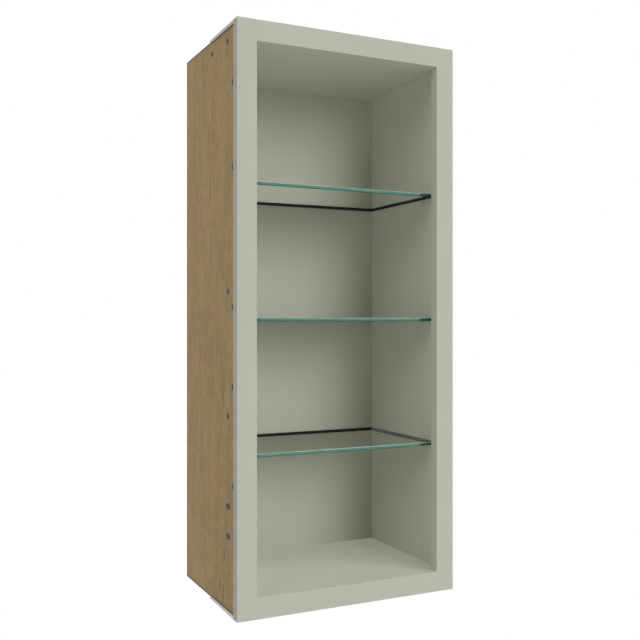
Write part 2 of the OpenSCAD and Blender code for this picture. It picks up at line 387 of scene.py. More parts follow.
class Finish:
    """A material, or the sky, written node by node."""

    def __init__(self, name, group="materials"):
        self.material = getattr(bpy.data, group).new(name)
        self.material.use_nodes = True
        self.tree = self.material.node_tree
        self.tree.nodes.clear()

    def add(self, kind, settings, sockets, output=0):
        """One node: its type, its settings, and the values or links of its sockets."""
        node = self.tree.nodes.new(kind)
        for key, value in settings.items():
            setattr(node, key, value)
        for key, value in sockets.items():
            if isinstance(value, Shade):
                self.tree.links.new(value.socket, node.inputs[key])
            else:
                node.inputs[key].default_value = value
        return None if output is None else Shade(self, node.outputs[output])

    def place(self, scale=(1, 1, 1), shift=(0, 0, 0)):
        """The place on the piece, in metres, stretched and moved."""
        where = self.add("ShaderNodeTexCoord", {}, {}, "Object")
        sockets = {"Vector": where, "Location": shift, "Scale": scale}
        return self.add("ShaderNodeMapping", {}, sockets)

    def axes(self):
        """The three coordinates of the place on the piece."""
        where = self.add("ShaderNodeTexCoord", {}, {}, "Object")
        split = self.add("ShaderNodeSeparateXYZ", {}, {0: where})
        return [Shade(self, socket) for socket in split.socket.node.outputs]

    def noise(self, where, scale, detail=2.0, roughness=0.5, distortion=0.0):
        """A noise from 0 to 1."""
        sockets = {
            "Vector": where, "Scale": scale, "Detail": detail,
            "Roughness": roughness, "Distortion": distortion,
        }
        return self.add("ShaderNodeTexNoise", {}, sockets)

    def colour(self, share, first, second):
        """A colour between two others."""
        sockets = {0: share, 6: first, 7: second}
        return self.add("ShaderNodeMix", {"data_type": "RGBA"}, sockets, 2)

    def bump(self, height, strength, distance):
        """A normal that leans with a height."""
        sockets = {"Height": height, "Strength": strength, "Distance": distance}
        return self.add("ShaderNodeBump", {}, sockets)

    def surface(self, sockets):
        """The main shader."""
        return self.add("ShaderNodeBsdfPrincipled", {}, sockets)

    def mixed(self, share, first, second):
        """Two shaders, one showing through the other."""
        return self.add("ShaderNodeMixShader", {}, {0: share, 1: first, 2: second})

    def done(self, shader):
        """Ends the material in its shader."""
        self.add("ShaderNodeOutputMaterial", {}, {"Surface": shader}, None)
        return self.material


def full(colour):
    """A colour with its alpha."""
    return (*tuple(colour)[:3], 1.0)


def times(colour, factor):
    """A lighter or darker colour."""
    return tuple(c * factor for c in tuple(colour)[:3])


# Properties


def tint(name, description, default):
    """A colour that a user may change."""
    return FloatVectorProperty(
        name=name, description=description, default=default,
        subtype="COLOR", size=3, min=0, max=1,
    )


def length(name, description, default):
    """A length that a user may change."""
    return FloatProperty(
        name=name, description=description, default=default,
        subtype="DISTANCE", unit="LENGTH", min=0,
    )


class CabinetEdges(bpy.types.PropertyGroup):
    """How far the pieces' edges are eased."""

    frame: length("Frame", "Rounding of the face frame's edges", 0.6 * MM)
    panel: length("Panels", "Rounding of the panels' edges", 0.35 * MM)
    block: length("Rails and blocks", "Rounding of the bare wood's edges", 0.8 * MM)
    glass: length("Glass", "Width of the bevel on the glass's edges", 0.9 * MM)


class CabinetColours(bpy.types.PropertyGroup):
    """Colours of the finishes."""

    paint: tint("Paint", "Sage paint of the frame and the inside", (0.462, 0.474, 0.397))
    strip: tint("Strips", "Paint of the strips on the ends of the sides", (0.84, 0.85, 0.8))
    veneer: tint("Veneer", "Wood of the outer sides", (0.297, 0.182, 0.053))
    ply: tint("Plywood", "Layers at the edges of the panels", (0.52, 0.39, 0.24))
    bare: tint("Bare wood", "Rails, blocks and backs of the panels", (0.58, 0.45, 0.29))
    dark: tint("Dark fittings", "Plugs and screws in the sides", (0.05, 0.048, 0.044))
    glass: tint("Glass edge", "Polished front edge of the shelves", (0.002, 0.15, 0.107))
    # Painted shade: near-black side edges of the upper and middle shelves.
    rim: tint("Glass rim", "Ground side edges of the shelves", (0.012, 0.022, 0.018))
    # Painted shade: a dark colour for the shelves' back edges and bevels.
    painted_back_shade: tint("Glass back", "Ground back edges and bevels", (0.034, 0.037, 0.031))
    # Painted light: a lit grey for the lower shelf's side edges, in place of the near-black
    # shade.
    sill: tint("Glass sill", "Side edges seen from above", (0.3, 0.31, 0.28))
    # Painted highlight: a pale line along the top bevel of the front edge.
    lip: tint("Glass lip", "Bevel along the top of the front edge", (0.36, 0.46, 0.4))


class CabinetStage(bpy.types.PropertyGroup):
    """Light around the cabinet, and the floor below it."""

    key: FloatProperty(name="Key", description="Light from the front", default=1)
    fill: FloatProperty(name="Fill", description="Light from the sides, rear and ends", default=1)
    sky: FloatProperty(name="Sky", description="Light from all round", default=0)
    hung: length("Height", "Height of the cabinet above the floor", 1.37)


GROUPS = {
    "cabinet_edges": CabinetEdges,
    "cabinet_colours": CabinetColours,
    "cabinet_stage": CabinetStage,
}


def settings(group):
    """One group of the cabinet's properties, as they stand now."""
    return getattr(bpy.context.scene, "cabinet_" + group)


# Materials


def sage_paint():
    """Satin paint with the faint texture of a roller, and painted shade on the frame's outer side
    faces.
    """
    f = Finish("sage_paint")
    paint = settings("colours").paint
    x, _, _ = f.axes()
    broad = f.noise(f.place(), 9, 3)
    shade = broad.ramp(0.3, 0.7)
    colour = f.colour(shade, full(times(paint, 0.985)), full(times(paint, 1.015)))
    # Painted shade: the frame's outer side faces are a fifth darker than its front.
    outer = abs(x) > FRAME_X - PAINT_T
    colour = f.colour(outer, colour, full(times(paint, 0.82)))
    stipple = f.noise(f.place(), 900, 3, 0.6)
    return f.done(f.surface({
        "Base Color": colour,
        "Roughness": f.noise(f.place(), 60, 2).ramp(0.3, 0.7, 0.5, 0.58),
        "Specular IOR Level": 0.3,
        "Normal": f.bump(stipple, 0.12, 0.0004),
    }))


def strip_paint():
    """Paler paint of the edge strips."""
    f = Finish("strip_paint")
    paint = settings("colours").strip
    shade = f.noise(f.place((1, 0.2, 1)), 120, 2).ramp(0.3, 0.7)
    return f.done(f.surface({
        "Base Color": f.colour(shade, full(times(paint, 0.97)), full(paint)),
        "Roughness": 0.5,
        "Specular IOR Level": 0.3,
        "Normal": f.bump(f.noise(f.place(), 900, 2), 0.1, 0.0003),
    }))


def grain(f, stretch, colour, contrast=1.0):
    """Wood whose grain runs along the axis with the smallest stretch."""
    field = f.noise(f.place([s * 5 for s in stretch]), 1, 2, 0.45, 0.6)
    rings = (field * 58).sine() * 0.5 + 0.5
    fibres = f.noise(f.place([s * 420 for s in stretch]), 1, 3, 0.65)
    bands = f.noise(f.place([s * 26 for s in stretch]), 1, 3, 0.55)
    flecks = f.noise(f.place([s * 150 for s in stretch]), 1, 2, 0.5).ramp(0.63, 0.75)
    tone = rings * 0.3 + fibres * 0.75 + bands * 0.9 - 0.47
    deep, pale = times(colour, 1 - 0.24 * contrast), times(colour, 1 + 0.2 * contrast)
    wood = f.colour(tone.ramp(0.1, 0.95), full(deep), full(pale))
    red = (colour[0] * 0.8, colour[1] * 0.62, colour[2] * 0.5)
    wood = f.colour(flecks * 0.35 * contrast, wood, full(red))
    return wood, fibres + rings * 0.3


def figured(f, colour):
    """Rotary-cut veneer with upright grain: short soft streaks over golden and olive bands."""
    fibre = f.noise(f.place((1, 1, 0.06)), 420, 3, 0.6)
    streak = f.noise(f.place((1, 1, 0.4)), 150, 3, 0.6, 0.3)
    band = f.noise(f.place((1, 1, 0.1)), 120, 3, 0.6)
    patch = f.noise(f.place((1, 1, 0.5)), 34, 4, 0.6, 0.5)
    arch = (f.noise(f.place((1, 1, 0.16)), 7, 2, 0.4, 0.4) * 64).sine() * 0.5 + 0.5
    hue = f.noise(f.place((1, 1, 0.3)), 26, 3, 0.55).ramp(0.3, 0.7)
    tone = fibre * 0.2 + streak * 0.8 + band * 0.4 + patch * 0.4 + arch * 0.1
    golden = tuple(c * k for c, k in zip(colour, (1.03, 0.98, 0.88)))
    olive = tuple(c * k for c, k in zip(colour, (0.965, 1.015, 1.1)))
    base = f.colour(hue, full(olive), full(golden))
    shade = f.add("ShaderNodeCombineColor", {}, {
        key: tone.ramp(0.6, 1.32, 0.7, 1.3) for key in ("Red", "Green", "Blue")
    })
    sockets = {0: 1.0, 6: base, 7: shade}
    wood = f.add("ShaderNodeMix", {"data_type": "RGBA", "blend_type": "MULTIPLY"}, sockets, 2)
    return wood, streak + fibre


def spots(across, up, places):
    """A mask of soft oval spots, each given by its middle and its half width and height."""
    mask = None
    for (y, z), (wide, high) in places:
        u, v = (across - y) / wide, (up - z) / high
        spot = (u * u + v * v).ramp(0.35, 1.0, 1.0, 0.0)
        mask = spot if mask is None else mask.most(spot)
    return mask


def plies(f, depth, ply, colour):
    """Layers of plywood, seen at an edge, with a glue line between each pair."""
    turn = (depth / ply).turned(1)
    layer = turn.ramp(0.42, 0.58)
    line = abs(turn - 0.5).ramp(0.0, 0.07, 1.0, 0.0)
    streak = f.noise(f.place((300, 300, 300)), 1, 3, 0.6)
    pale, deep = times(colour, 1.12), times(colour, 0.7)
    edge = f.colour(layer * 0.75 + streak * 0.25, full(pale), full(deep))
    return f.colour(line * 0.6, edge, full(times(colour, 0.28)))


def side_finish():
    """A side panel: veneer outside, plywood at its edges, paint inside, and painted shade along
    the veneer's ends and beside the frame.
    """
    f = Finish("side_panel_finish")
    colours = settings("colours")
    x, y, z = f.axes()
    out = abs(x)
    veneer, height = figured(f, colours.veneer)
    dark = (colours.veneer[0] * 0.5, colours.veneer[1] * 0.42, colours.veneer[2] * 0.35)
    veneer = f.colour(spots(y, z, VENEER_STREAKS) * 0.85, veneer, full(dark))
    # Painted shade: the veneer darkens to a fifth of its colour within about 4 mm of the panel's
    # ends, following the strips' notches, and for a few millimetres behind the frame.
    notch = (y < STRIP_BACK_Y) * STRIP_T
    rim = (z.least(TOP_Z - z) - notch).ramp(3 * MM, 4.2 * MM, 0.95, 0.0)
    rim = rim.most(y.ramp(FRAME_BACK_Y + 4 * MM, FRAME_BACK_Y + 8 * MM, 0.6, 0.0))
    veneer = f.colour(rim, veneer, full(times(colours.veneer, 0.2)))
    heads = [(FRONT_Y + away, CEILING_Z + DECK_SCREW_RISE) for away in DECK_SCREW_Y]
    rings = spots(y, z, [(place, (STAIN_R, STAIN_R)) for place in plug_places() + heads])
    veneer = f.colour(rings.ramp(0.0, 0.45), veneer, full(times(colours.dark, 1.1)))
    raw = plies(f, out - INNER_X, 1.41 * MM, colours.ply)
    paint = full(colours.paint)
    inside = (z > FLOOR_Z) * (z < CEILING_Z) * (y > FRAME_BACK_Y) * (y < BACK_Y)
    face = f.colour(inside, full(times(colours.bare, 0.95)), paint)
    outside = out > SIDE_X - VENEER_T
    colour = f.colour(outside, raw, veneer)
    colour = f.colour(out < INNER_X + PAINT_T, colour, face)
    stipple = f.noise(f.place(), 900, 3, 0.6)
    return f.done(f.surface({
        "Base Color": colour,
        "Roughness": outside * -0.06 + 0.56,
        "Specular IOR Level": 0.3,
        "Normal": f.bump(height * 0.4 + stipple * 0.3, 0.12, 0.0004),
    }))


def deck_finish():
    """A top or bottom panel: paint inside the cabinet, bare plywood outside."""
    f = Finish("deck_finish")
    colours = settings("colours")
    x, y, z = f.axes()
    bare, height = grain(f, (0.07, 1, 1), colours.bare, 0.8)
    depth = (z - CEILING_Z).most(FLOOR_Z - z)
    raw = plies(f, depth, 1.6 * MM, colours.ply)
    colour = f.colour(depth > DECK_T - 0.4 * MM, raw, bare)
    paint = full(colours.paint)
    inside = (depth < PAINT_T) * (abs(x) < INNER_X) * (y < BACK_Y)
    return f.done(f.surface({
        "Base Color": f.colour(inside, colour, paint),
        "Roughness": inside * -0.06 + 0.62,
        "Specular IOR Level": 0.3,
        "Normal": f.bump(height, 0.1, 0.0004),
    }))


def back_finish():
    """The back panel: paint inside the cabinet, bare plywood behind."""
    f = Finish("back_finish")
    colours = settings("colours")
    _, y, _ = f.axes()
    bare, height = grain(f, (1, 1, 0.07), colours.bare, 0.9)
    broad = f.noise(f.place(), 9, 3).ramp(0.3, 0.7)
    paint = f.colour(
        broad, full(times(colours.paint, 0.985)), full(times(colours.paint, 1.015))
    )
    inside = y < BACK_Y + PAINT_T
    raw = plies(f, y - BACK_Y, 1.27 * MM, colours.ply)
    colour = f.colour(y > RAIL_Y - 0.4 * MM, raw, bare)
    return f.done(f.surface({
        "Base Color": f.colour(inside, colour, paint),
        "Roughness": inside * -0.06 + 0.62,
        "Specular IOR Level": 0.3,
        "Normal": f.bump(height, 0.08, 0.0004),
    }))


def hardwood():
    """Planed, unfinished wood with its grain along the cabinet's width."""
    f = Finish("hardwood")
    wood, height = grain(f, (0.07, 1, 1), settings("colours").bare)
    return f.done(f.surface({
        "Base Color": wood,
        "Roughness": height.ramp(0.3, 1.0, 0.56, 0.7),
        "Specular IOR Level": 0.3,
        "Normal": f.bump(height, 0.15, 0.0004),
    }))


def dark_metal():
    """Black oxide on steel, worn a little brighter in spots."""
    f = Finish("dark_metal")
    dark = settings("colours").dark
    worn = f.noise(f.place(), 700, 3, 0.6).ramp(0.55, 0.8)
    return f.done(f.surface({
        "Base Color": f.colour(worn, full(dark), full(times(dark, 2.2))),
        "Roughness": worn.ramp(0, 1, 0.5, 0.38),
        "Metallic": 0.2,
        "Specular IOR Level": 0.2,
    }))


def dark_plastic():
    """Matt dark plastic with a fine grain."""
    f = Finish("dark_plastic")
    dark = settings("colours").dark
    fine = f.noise(f.place(), 2500, 2, 0.6)
    return f.done(f.surface({
        "Base Color": f.colour(fine.ramp(0.3, 0.7), full(dark), full(times(dark, 1.4))),
        "Roughness": fine.ramp(0.3, 0.7, 0.5, 0.62),
        "Specular IOR Level": 0.2,
        "Normal": f.bump(fine, 0.2, 0.0001),
    }))


def zinc():
    """Bright zinc plate with fine turning marks."""
    f = Finish("zinc_plate")
    mark = f.noise(f.place((1, 1, 6)), 900, 2, 0.6)
    return f.done(f.surface({
        "Base Color": f.colour(
            mark.ramp(0.3, 0.7), (0.5, 0.51, 0.5, 1), (0.66, 0.66, 0.64, 1)
        ),
        "Roughness": mark.ramp(0.3, 0.7, 0.24, 0.38),
        "Metallic": 1.0,
    }))


def seen_and_lit(f, seen, lit):
    """One shader for the eye and another that stops the light."""
    for ray in ("Is Diffuse Ray", "Is Shadow Ray"):
        seen = f.mixed(f.add("ShaderNodeLightPath", {}, {}, ray), seen, lit)
    return seen


def to_the_eye(f):
    """1 on what the camera sees, straight or by way of glass or a reflection."""
    seen = f.add("ShaderNodeLightPath", {}, {}, "Is Camera Ray")
    for ray in ("Is Glossy Ray", "Is Transmission Ray"):
        seen = seen.most(f.add("ShaderNodeLightPath", {}, {}, ray))
    return seen


def clear_plastic(name, share):
    """Clear moulded plastic or silicone, nearly invisible against the paint."""
    f = Finish(name)
    hazy = f.noise(f.place(), 300, 2).ramp(0.3, 0.7, share * 0.7, share * 1.3)
    clear = f.add("ShaderNodeBsdfTransparent", {}, {"Color": (0.97, 0.98, 0.97, 1)})
    body = f.surface({
        "Base Color": (0.5, 0.52, 0.46, 1), "Roughness": 0.2, "Specular IOR Level": 0.4,
    })
    return f.done(f.mixed(hazy, clear, body))


def glass_face():
    """The large faces of a shelf: clear to the eye, with a faint sheen."""
    f = Finish("glass_face")
    clear = f.add("ShaderNodeBsdfTransparent", {}, {"Color": (0.985, 0.995, 0.99, 1)})
    sheen = f.add("ShaderNodeBsdfGlossy", {}, {
        "Color": (0.9, 0.96, 0.94, 1), "Roughness": 0.02,
    })
    seen = f.mixed(f.noise(f.place(), 4, 1).ramp(0.3, 0.7, 0.012, 0.02), clear, sheen)
    lit = f.add("ShaderNodeBsdfDiffuse", {}, {"Color": (0.42, 0.45, 0.4, 1)})
    return f.done(seen_and_lit(f, seen, lit))


def glass_front():
    """The polished front edge: deep green under a bright sheen, with a band of painted shade near
    its ends.
    """
    f = Finish("glass_front")
    edge = settings("colours").glass
    x, _, _ = f.axes()
    cloud = f.noise(f.place((1, 1, 4)), 30, 3, 0.6).ramp(0.3, 0.7)
    body = f.colour(cloud, full(times(edge, 0.9)), full(times(edge, 1.1)))
    out = abs(x)
    # Painted shade: a darker green band in the front edge, between about 21 mm and 7 mm in from
    # each side of the opening.
    shade = out.ramp(OPEN_X - 21 * MM, OPEN_X - 18 * MM)
    shade = shade * (out > OPEN_X - 7 * MM).ramp(0, 1, 1, 0)
    return f.done(f.surface({
        "Base Color": f.colour(shade * 0.85, body, (0, 0.05, 0.03, 1)),
        "Roughness": 0.04,
        "IOR": 1.9,
    }))


def glass_rim(name, colour):
    """Painted light and shade for the glass's edges and bevels: dark colours stand for shade,
    pale ones for light.
    """
    f = Finish(name)
    cloud = f.noise(f.place((1, 1, 4)), 60, 2).ramp(0.3, 0.7)
    return f.done(f.surface({
        "Base Color": f.colour(cloud, full(times(colour, 0.85)), full(times(colour, 1.15))),
        "Roughness": 0.3,
        "Specular IOR Level": 0.1,
    }))


MATERIALS = {}


def material(name, make, *values):
    """A finish, made once."""
    if name not in MATERIALS:
        MATERIALS[name] = make(*values)
    return MATERIALS[name]


# Operators


class CABINET_OT_face_frame(bpy.types.Operator):
    """Stiles and rails of the face frame, eased as one and cut at the joints"""

    bl_idname = "cabinet.face_frame"
    bl_label = "Face frame"

    def execute(self, context):
        width = settings("edges").frame
        ring = block("ring", (-FRAME_X, FRONT_Y, 0), (FRAME_X, FRAME_BACK_Y, TOP_Z))
        cut(ring, block(
            "opening", (-OPEN_X, FRONT_Y - OVER, FLOOR_Z),
            (OPEN_X, FRAME_BACK_Y + OVER, CEILING_Z),
        ))

        def eased(edge):
            outside = any(
                on_plane(edge, axis, value)
                for axis, value in ((0, -FRAME_X), (0, FRAME_X), (2, 0), (2, TOP_Z))
            )
            return outside or on_plane(edge, 1, FRONT_Y)

        ease(ring, width, eased, 3)
        right, top, bottom = (
            copied(ring, name) for name in ("stile_right", "rail_top", "rail_bottom")
        )
        bpy.data.objects.remove(ring)
        low = (-FRAME_X - OVER, FRONT_Y - OVER, -OVER)
        high = (FRAME_X + OVER, FRAME_BACK_Y + OVER, TOP_Z + OVER)
        cut(right, block("rest", low, (OPEN_X, high[1], high[2])))
        for rail in (top, bottom):
            cut(rail, block("rest", (OPEN_X, low[1], low[2]), high))
            cut(rail, block("rest", low, (-OPEN_X, high[1], high[2])))
        cut(top, block("rest", low, (high[0], high[1], MID_Z)))
        cut(bottom, block("rest", (low[0], low[1], MID_Z), high))
        cut(right, block(
            "groove", (INNER_X, GROOVE_Y, -OVER), (SIDE_X, FRAME_BACK_Y + OVER, TOP_Z + OVER)
        ))
        for rail_z in (FLOOR_Z / 2, (CEILING_Z + TOP_Z) / 2):
            for dz in (-DOWEL_PITCH / 2, DOWEL_PITCH / 2):
                for side in (-1, 1):
                    y, z = (FRONT_Y + FRAME_BACK_Y) / 2, rail_z + dz
                    ends = [(side * (OPEN_X - DOWEL_IN_RAIL), y, z)]
                    ends.append((side * (OPEN_X - DOWEL_IN_RAIL + DOWEL_L), y, z))
                    rail = bottom if rail_z < MID_Z else top
                    cut(rail, rod("hole", *ends, DOWEL_R))
                    if side > 0:
                        cut(right, rod("hole", *ends, DOWEL_R))
        left = mirrored(right, "stile_left")
        paint = material("sage", sage_paint)
        for o, node in (
            (left, "left_stile"), (right, "right_stile"),
            (top, "top_rail"), (bottom, "bottom_rail"),
        ):
            finish_piece(o, ROOT, node, "frame_paint", paint)
        return {"FINISHED"}


class CABINET_OT_side_panels(bpy.types.Operator):
    """Side panels, with their housings, grooves, notches and holes"""

    bl_idname = "cabinet.side_panels"
    bl_label = "Side panels"

    def execute(self, context):
        right = block("side_right", (INNER_X, GROOVE_Y, 0), (SIDE_X, WALL_Y, TOP_Z))
        ease(right, settings("edges").panel, lambda edge: not on_plane(edge, 1, GROOVE_Y))
        for low_z in (FLOOR_Z - DECK_T, CEILING_Z):
            cut(right, block(
                "housing", (INNER_X - OVER, FRAME_BACK_Y, low_z),
                (DECK_X, WALL_Y + OVER, low_z + DECK_T),
            ))
        cut(right, block(
            "groove", (INNER_X - OVER, BACK_Y, BACK_LOW_Z), (DECK_X, RAIL_Y, BACK_HIGH_Z)
        ))
        for low_z in (-OVER, TOP_Z - STRIP_T):
            cut(right, block(
                "notch", (INNER_X - OVER, FRAME_BACK_Y, low_z),
                (SIDE_X + OVER, STRIP_BACK_Y, low_z + STRIP_T + OVER),
            ))
        for y, z in pin_places():
            cut(right, rod(
                "hole", (INNER_X - OVER, y, z), (INNER_X + PEG_L + FIT, y, z), PEG_R + FIT
            ))
        for y, z in plug_places():
            cut(right, rod(
                "hole", (SIDE_X - PLUG_L, y, z), (SIDE_X + OVER, y, z), PLUG_R + FIT
            ))
        for y in DECK_SCREW_Y:
            y, z = FRONT_Y + y, CEILING_Z + DECK_SCREW_RISE
            cut(right, rod(
                "hole", (INNER_X - OVER, y, z), (SIDE_X + OVER, y, z), SHANK_R + FIT
            ))
            cut(right, rod(
                "hole", (SIDE_X - HEAD_T, y, z), (SIDE_X + OVER, y, z), HEAD_R + FIT
            ))
        left = mirrored(right, "side_left")
        finish = material("side", side_finish)
        finish_piece(right, ROOT, "right_side_panel", "side_wood", finish)
        finish_piece(left, ROOT, "left_side_panel", "side_wood", finish)
        return {"FINISHED"}


class CABINET_OT_decks(bpy.types.Operator):
    """Top and bottom panel, grooved for the back and drilled for the screws"""

    bl_idname = "cabinet.decks"
    bl_label = "Top and bottom panel"

    def execute(self, context):
        high_z = CEILING_Z + DECK_T
        top = block("deck_top", (-DECK_X, FRAME_BACK_Y, CEILING_Z), (DECK_X, WALL_Y, high_z))
        ease(top, settings("edges").panel, lambda edge: on_plane(edge, 1, WALL_Y))
        cut(top, block(
            "groove", (-DECK_X - OVER, BACK_Y, CEILING_Z - OVER),
            (DECK_X + OVER, RAIL_Y, BACK_HIGH_Z),
        ))
        for x, y in rail_screw_places():
            cut(top, rod("hole", (x, y, CEILING_Z - OVER), (x, y, high_z + OVER), SHANK_R + FIT))
            cut(top, rod("hole", (x, y, high_z - HEAD_T), (x, y, high_z + OVER), HEAD_R + FIT))
        bottom = upended(top, "deck_bottom")
        for y in DECK_SCREW_Y:
            for side in (-1, 1):
                y_z = FRONT_Y + y, CEILING_Z + DECK_SCREW_RISE
                start = SIDE_X - HEAD_T - DECK_SCREW_L
                cut(top, rod(
                    "hole", (side * start, *y_z), (side * (DECK_X + OVER), *y_z), SHANK_R + FIT
                ))
        finish = material("deck", deck_finish)
        finish_piece(top, ROOT, "top_panel", "panel_paint", finish)
        finish_piece(bottom, ROOT, "bottom_panel", "panel_paint", finish)
        return {"FINISHED"}


class CABINET_OT_back(bpy.types.Operator):
    """Back panel and the hanging rails behind it"""

    bl_idname = "cabinet.back"
    bl_label = "Back"

    def execute(self, context):
        back = block("back", *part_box("back_panel"))
        ease(back, settings("edges").panel)
        finish_piece(back, ROOT, "back_panel", "panel_paint", material("back", back_finish))
        wood = material("hardwood", hardwood)
        for name, node in (
            ("rail_hanging_top", "upper_hanging_rail"),
            ("rail_hanging_bottom", "lower_hanging_rail"),
        ):
            low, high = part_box(node)
            rail = block(name, low, high)
            ease(rail, settings("edges").block, lambda edge: along(edge, 0), 3)
            inner = low.z if low.z > MID_Z else high.z
            outer = high.z if low.z > MID_Z else low.z
            step = math.copysign(1, outer - inner)
            tip = outer + step * (DECK_T - HEAD_T - RAIL_SCREW_L)
            for x, y in rail_screw_places():
                cut(rail, rod(
                    "hole", (x, y, tip), (x, y, outer + step * OVER), SHANK_R + FIT
                ))
            finish_piece(rail, ROOT, node, "bare_wood", wood)
        return {"FINISHED"}


class CABINET_OT_glue_blocks(bpy.types.Operator):
    """Three-cornered blocks behind the rails of the frame"""

    bl_idname = "cabinet.glue_blocks"
    bl_label = "Glue blocks"

    def execute(self, context):
        low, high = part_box("upper_glue_blocks")
        leg = high.z - low.z
        size = 60 * MM
        one = block("block", (low.x, low.y, low.z), (low.x + size, low.y + leg, high.z))
        keep_side(one, (0, low.y + leg, low.z), (0, -1, -1))
        ease(one, settings("edges").block)
        step = (high.x - low.x - size) / 2
        parts = [one]
        for i in (1, 2):
            parts.append(copied(one, "block", Matrix.Translation((i * step, 0, 0))))
        top = joined("blocks_top", *parts)
        bottom = upended(top, "blocks_bottom")
        wood = material("hardwood", hardwood)
        finish_piece(top, ROOT, "upper_glue_blocks", "bare_wood", wood)
        finish_piece(bottom, ROOT, "lower_glue_blocks", "bare_wood", wood)
        return {"FINISHED"}


class CABINET_OT_edge_strips(bpy.types.Operator):
    """Pale strips let into the ends of the side panels"""

    bl_idname = "cabinet.edge_strips"
    bl_label = "Edge strips"

    def execute(self, context):
        taper = 1.8 * MM
        low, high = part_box("lower_edge_strips")
        one = block("strip", (INNER_X, low.y, low.z), (high.x, high.y, high.z))
        with editing(one):
            choose(one, "VERT", lambda v: near(v.co.x, high.x) and near(v.co.y, high.y))
            bpy.ops.transform.translate(value=(-taper, 0, 0))
        ease(one, 0.25 * MM, lambda edge: not on_plane(edge, 0, INNER_X))
        bottom = joined("strips_bottom", one, mirrored(one, "strip"))
        top = upended(bottom, "strips_top")
        paint = material("strip", strip_paint)
        finish_piece(top, ROOT, "upper_edge_strips", "frame_paint", paint)
        finish_piece(bottom, ROOT, "lower_edge_strips", "frame_paint", paint)
        return {"FINISHED"}


class CABINET_OT_screws(bpy.types.Operator):
    """Dark screws through the sides and bright ones into the hanging rails"""

    bl_idname = "cabinet.screws"
    bl_label = "Screws"

    def execute(self, context):
        one = make_screw(DECK_SCREW_L)
        turn = Matrix.Rotation(math.radians(90), 4, "Y")
        parts = []
        for i, y in enumerate(DECK_SCREW_Y):
            spot = Matrix.Translation((SIDE_X, FRONT_Y + y, CEILING_Z + DECK_SCREW_RISE))
            twist = Matrix.Rotation(math.radians(20 + 47 * i), 4, "Z")
            parts.append(copied(one, "part", spot @ turn @ twist))
        right = joined("screws_right", *parts)
        left = mirrored(right, "screws_left")
        dark = material("dark_metal", dark_metal)
        finish_piece(right, ROOT, "right_deck_screws", "black_screw", dark)
        finish_piece(left, ROOT, "left_deck_screws", "black_screw", dark)
        bpy.data.objects.remove(one)
        one = make_screw(RAIL_SCREW_L)
        parts = []
        for i, (x, y) in enumerate(rail_screw_places()):
            spot = Matrix.Translation((x, y, CEILING_Z + DECK_T))
            twist = Matrix.Rotation(math.radians(10 + 33 * i), 4, "Z")
            parts.append(copied(one, "part", spot @ twist))
        top = joined("screws_top", *parts)
        bottom = upended(top, "screws_bottom")
        bright = material("zinc", zinc)
        finish_piece(top, ROOT, "upper_rail_screws", "zinc_screw", bright)
        finish_piece(bottom, ROOT, "lower_rail_screws", "zinc_screw", bright)
        bpy.data.objects.remove(one)
        return {"FINISHED"}


class CABINET_OT_plugs(bpy.types.Operator):
    """Dark plugs in the sides, each with a shallow dish"""

    bl_idname = "cabinet.plugs"
    bl_label = "Plugs"

    def execute(self, context):
        one = rod("plug", (SIDE_X - PLUG_L, 0, 0), (SIDE_X, 0, 0), PLUG_R)
        ease(one, 0.3 * MM, lambda edge: on_plane(edge, 0, SIDE_X), 3)
        with editing(one):
            choose(one, "FACE", lambda face: face.normal.x > 0.99)
            bpy.ops.mesh.inset(thickness=0.7 * MM)
            bpy.ops.mesh.inset(thickness=0.3 * MM)
            bpy.ops.transform.translate(value=(-0.25 * MM, 0, 0))
        parts = [
            copied(one, "part", Matrix.Translation((0, y, z))) for y, z in plug_places()
        ]
        right = joined("plugs_right", *parts)
        left = mirrored(right, "plugs_left")
        bpy.data.objects.remove(one)
        dark = material("dark_plastic", dark_plastic)
        finish_piece(right, ROOT, "right_side_plugs", "dark_plug", dark)
        finish_piece(left, ROOT, "left_side_plugs", "dark_plug", dark)
        return {"FINISHED"}


